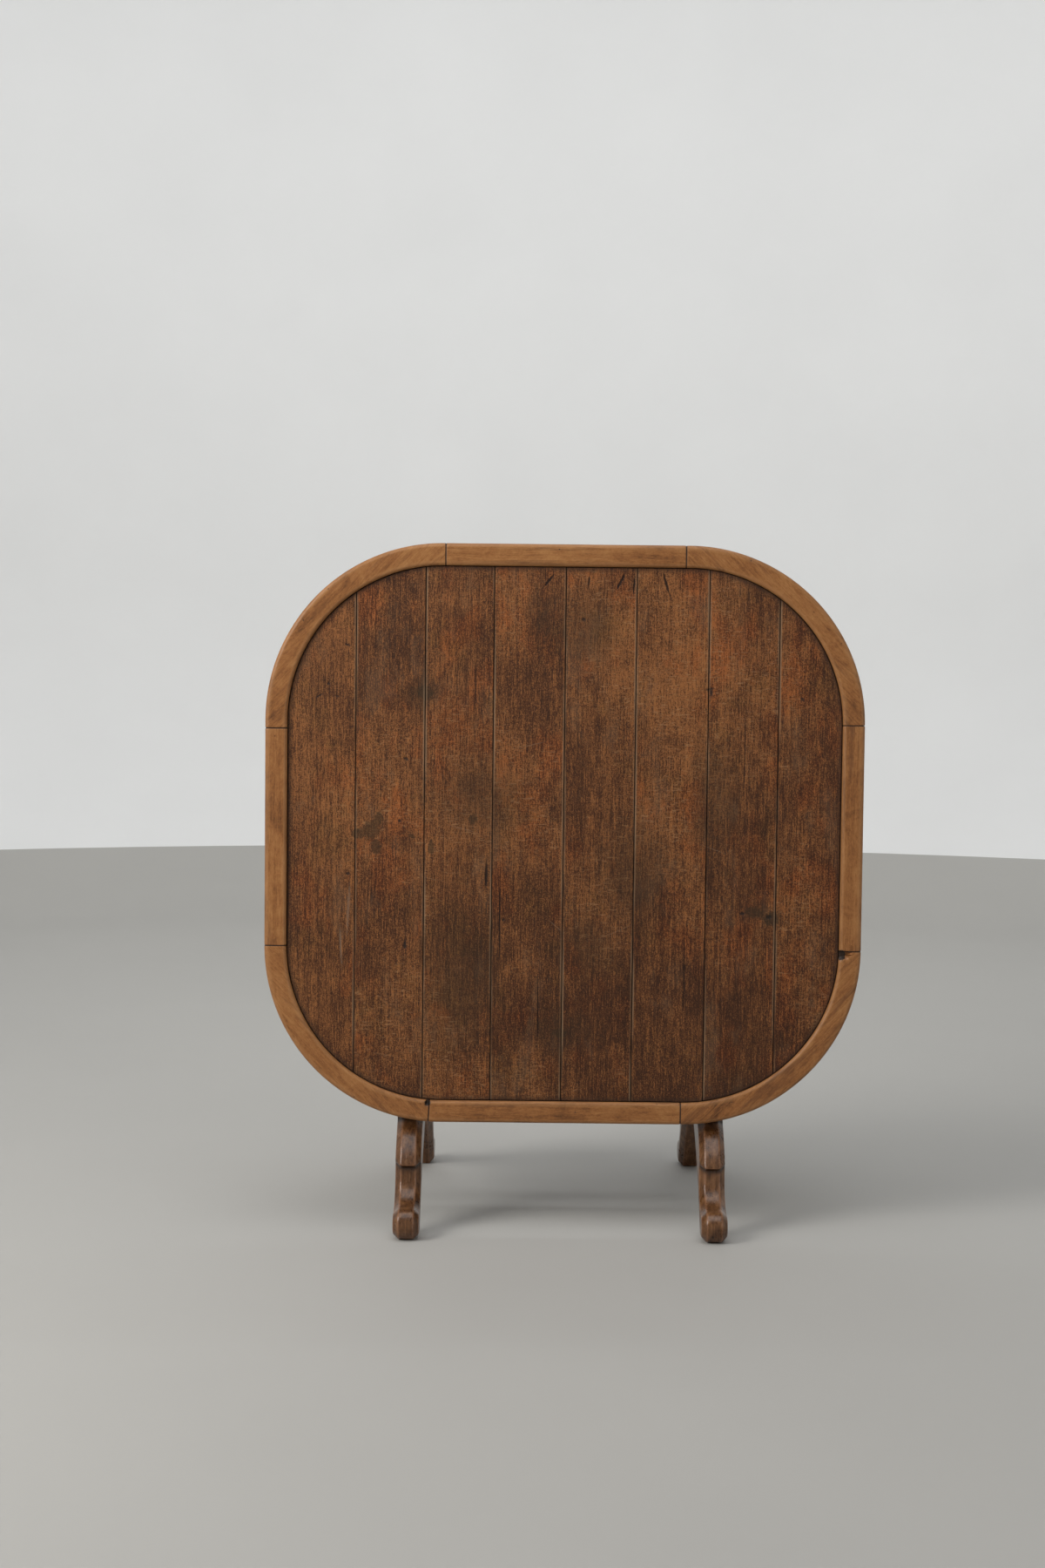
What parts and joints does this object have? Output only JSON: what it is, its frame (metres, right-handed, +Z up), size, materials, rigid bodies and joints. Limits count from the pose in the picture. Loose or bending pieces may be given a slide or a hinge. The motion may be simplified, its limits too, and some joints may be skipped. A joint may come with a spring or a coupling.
{
  "type": "tilt-top table",
  "caption": "Tilt-top oak table: a plank top with a raised round-cornered rim turns on two bolts over chamfered trestle ends and locks level with a sliding bolt.",
  "frame": {"origin": "on the floor, midway between the four feet", "axes": "+Z up; -Y is the front, which the tipped top faces; +X to the right as seen from the front"},
  "size_m": [1, 0.626, 1.152],
  "materials": {
    "plank_oak": "old waxed oak planks, worn",
    "rim_oak": "lighter oak rim, rubbed and waxed",
    "under_oak": "unpolished oak",
    "base_oak": "dark glossy stained oak",
    "iron": "dark forged iron",
    "brass": "tarnished brass"
  },
  "bodies": {
    "base": {"column_left": "base_oak", "column_right": "base_oak", "leg_front_left": "base_oak", "leg_front_right": "base_oak", "leg_rear_left": "base_oak", "leg_rear_right": "base_oak", "pivot_block_left": "base_oak", "pivot_block_right": "base_oak", "lower_stretcher": "base_oak", "tusk_wedges": "base_oak", "upper_rail": "base_oak", "leg_dowels": "base_oak", "block_pegs": "base_oak", "pivot_bolts": "iron", "pivot_washers": "iron", "pivot_nuts": "iron", "catch_keep": "brass", "keep_screws": "brass"},
    "top": {"plank_1": "plank_oak", "plank_2": "plank_oak", "plank_3": "plank_oak", "plank_4": "plank_oak", "plank_5": "plank_oak", "plank_6": "plank_oak", "plank_7": "plank_oak", "plank_8": "plank_oak", "plank_tongues": "under_oak", "rim_corner_top_left": "rim_oak", "rim_corner_top_right": "rim_oak", "rim_corner_bottom_right": "rim_oak", "rim_corner_bottom_left": "rim_oak", "rim_straight_top": "rim_oak", "rim_straight_right": "rim_oak", "rim_straight_bottom": "rim_oak", "rim_straight_left": "rim_oak", "rim_keys": "rim_oak", "rim_pins": "iron", "batten_lower": "under_oak", "batten_upper": "under_oak", "batten_screws": "iron", "bearer_left": "under_oak", "bearer_right": "under_oak", "bearer_screws": "iron", "catch_housing": "brass", "catch_screws": "brass"},
    "latch": {"catch_latch": "brass", "catch_knob": "brass"}
  },
  "joints": [
    {"name": "top_tilt", "type": "hinge", "parent": "base", "child": "top", "pos_m": [0, -0.11, 0.557], "axis": [-1, 0, 0], "range_deg": [0, 90]},
    {"name": "catch_slide", "type": "slide", "parent": "top", "child": "latch", "axis": [0, 0, -1], "range_m": [0, 0.021]}
  ]
}
